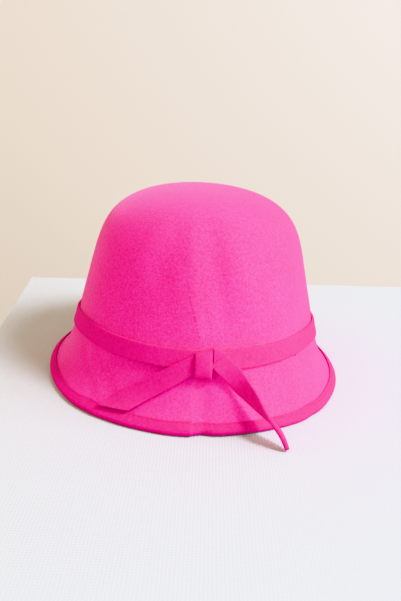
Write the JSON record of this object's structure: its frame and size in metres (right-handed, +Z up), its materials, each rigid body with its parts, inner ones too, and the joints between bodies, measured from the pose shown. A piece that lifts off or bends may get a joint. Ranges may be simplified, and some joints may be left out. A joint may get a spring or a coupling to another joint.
{
  "type": "cloche hat",
  "caption": "Pressed felt cloche hat with a rounded crown, a down-turned brim with a bound edge, and a narrow felt band knotted at the front.",
  "frame": {"origin": "on the surface the hat rests on, under the middle of the whole hat's box", "axes": "+Z up through the crown, -Y towards the front with the knot, +X to the right of someone who looks at the front"},
  "size_m": [0.2112, 0.2502, 0.1317],
  "materials": {
    "body_felt": "soft brushed wool felt",
    "binding_felt": "dense wool felt",
    "strip_felt": "dense wool felt"
  },
  "bodies": {
    "root": {"hat_body": "body_felt", "brim_binding": "binding_felt", "hat_band": "strip_felt", "knot_wrap": "strip_felt", "knot_fold": "strip_felt", "tail_left": "strip_felt", "tail_right": "strip_felt"}
  },
  "joints": []
}
